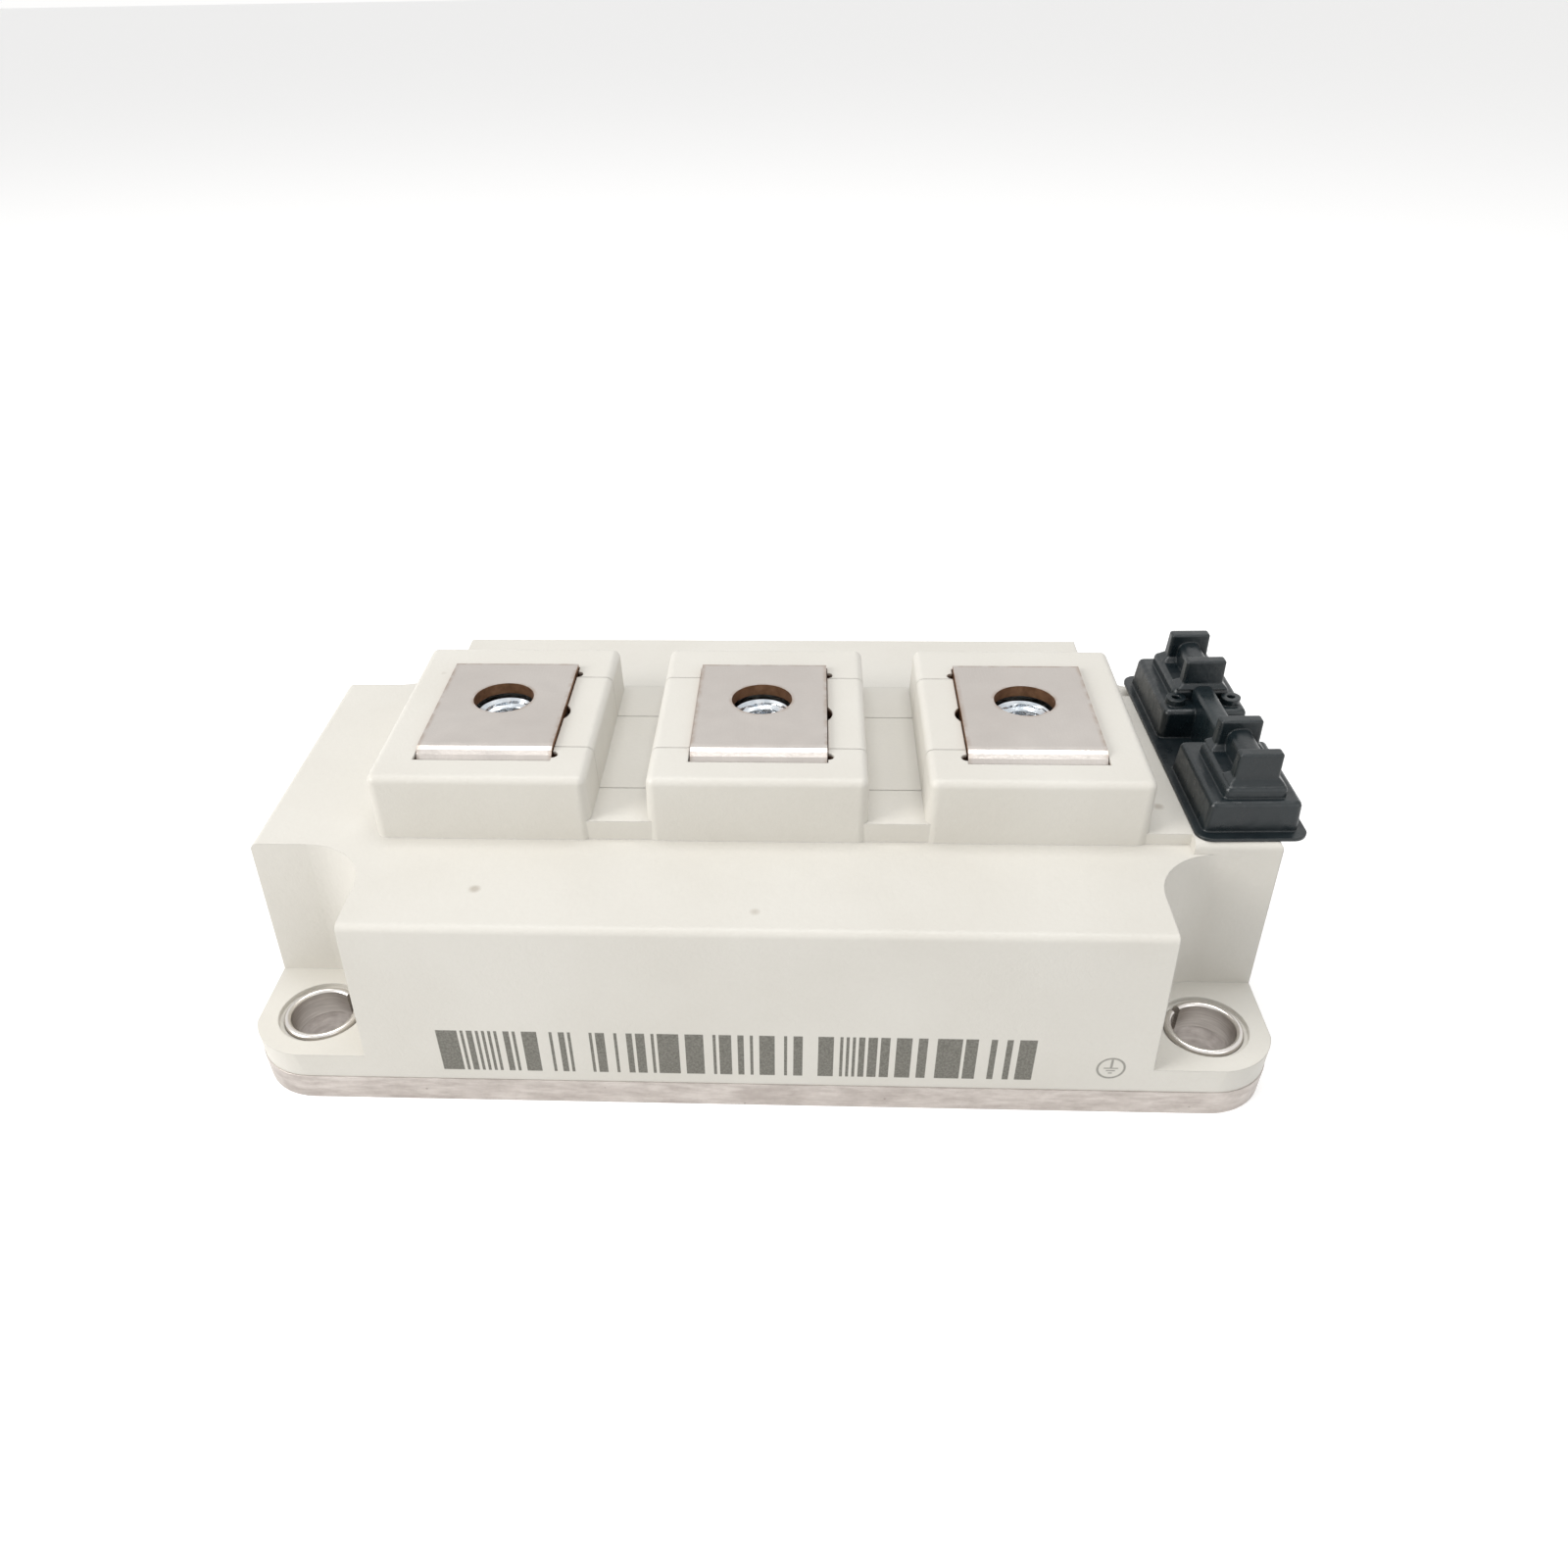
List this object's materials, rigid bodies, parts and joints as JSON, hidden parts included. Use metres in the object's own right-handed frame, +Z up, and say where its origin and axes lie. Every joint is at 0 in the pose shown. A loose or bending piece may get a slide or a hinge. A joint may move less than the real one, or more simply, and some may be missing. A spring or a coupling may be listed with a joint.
{
  "type": "power semiconductor module",
  "caption": "Half-bridge transistor module: ivory moulded housing on a plated base plate, bolted bar terminals along the top, control tabs under a black protective cap.",
  "frame": {"origin": "centre of the base plate's underside, which lies on the heatsink", "axes": "+Z up, away from the heatsink; +X along the length, towards the control tabs; +Y to the side away from the terminals' bends"},
  "size_m": [0.1077, 0.0614, 0.032],
  "materials": {
    "plated_base": "matte nickel plating over copper",
    "housing_plastic": "satin glass-filled moulding, ivory",
    "terminal_plating": "satin nickel plating over copper",
    "zinc_steel": "zinc plated",
    "sleeve_steel": "zinc plated, rolled",
    "cap_plastic": "thin formed sheet, semi-gloss",
    "seal": "cured silicone adhesive",
    "copper": "bare copper",
    "ceramic": "matte white",
    "silicon": "polished, dark",
    "aluminium_wire": "bright drawn wire",
    "lead_sleeve": "insulated lead",
    "gel": "soft clear gel"
  },
  "bodies": {
    "root": {"base_plate": "plated_base", "housing": "housing_plastic", "nut_bar": "housing_plastic", "main_terminal_left": "terminal_plating", "main_terminal_centre": "terminal_plating", "main_terminal_right": "terminal_plating", "hex_nut_left": "zinc_steel", "hex_nut_centre": "zinc_steel", "hex_nut_right": "zinc_steel", "sleeve_front_left": "sleeve_steel", "sleeve_front_right": "sleeve_steel", "sleeve_rear_left": "sleeve_steel", "sleeve_rear_right": "sleeve_steel", "control_tab_1": "terminal_plating", "control_tab_2": "terminal_plating", "control_tab_3": "terminal_plating", "control_tab_4": "terminal_plating", "protective_cap": "cap_plastic", "seal_bead": "seal", "back_copper_left": "copper", "back_copper_right": "copper", "ceramic_left": "ceramic", "ceramic_right": "ceramic", "track_copper_left": "copper", "track_copper_right": "copper", "transistor_chips_left": "silicon", "transistor_chips_right": "silicon", "diode_chips_left": "silicon", "diode_chips_right": "silicon", "bond_wires_left": "aluminium_wire", "bond_wires_right": "aluminium_wire", "control_leads": "lead_sleeve", "silicone_gel": "gel"}
  },
  "joints": []
}
